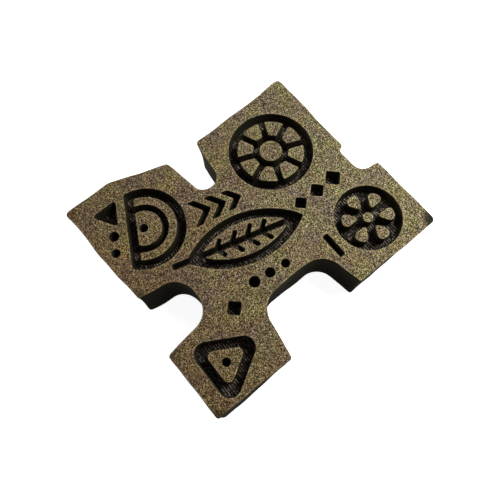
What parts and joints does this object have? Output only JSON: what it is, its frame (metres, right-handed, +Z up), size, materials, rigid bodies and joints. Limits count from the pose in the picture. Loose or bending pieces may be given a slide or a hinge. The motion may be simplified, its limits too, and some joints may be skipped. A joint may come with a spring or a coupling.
{
  "type": "foam stamp",
  "caption": "Thick foam printing stamp: a slab with four square lobes and a bite in each side, and a raised pattern on its upper face.",
  "frame": {"origin": "middle of the underside, under the middle of the slab's box", "axes": "+Z up out of the printing face, +Y along the slab's longer side, +X along its shorter side, so that the wide bite is in the +X side and the narrow bite is in the -X side"},
  "size_m": [0.0888, 0.1, 0.019],
  "materials": {
    "printing_foam": "matte closed-cell foam with a fine tan and dark speckle",
    "backing_foam": "matte dark closed-cell foam, cut by heat",
    "bond_film": "dull adhesive film, seen only at its edge"
  },
  "bodies": {
    "root": {"backing_block": "backing_foam", "bond_film": "bond_film", "printing_field": "printing_foam", "rosette_hub": "printing_foam", "rosette_segment_1": "printing_foam", "rosette_segment_2": "printing_foam", "rosette_segment_3": "printing_foam", "rosette_segment_4": "printing_foam", "rosette_segment_5": "printing_foam", "rosette_segment_6": "printing_foam", "rosette_segment_7": "printing_foam", "rosette_segment_8": "printing_foam", "arch_band": "printing_foam", "arch_core": "printing_foam", "leaf_half_west": "printing_foam", "leaf_half_east": "printing_foam", "flower_eye": "printing_foam", "flower_petal_1": "printing_foam", "flower_petal_2": "printing_foam", "flower_petal_3": "printing_foam", "flower_petal_4": "printing_foam", "flower_petal_5": "printing_foam", "flower_petal_6": "printing_foam", "triangle_island": "printing_foam"}
  },
  "joints": []
}
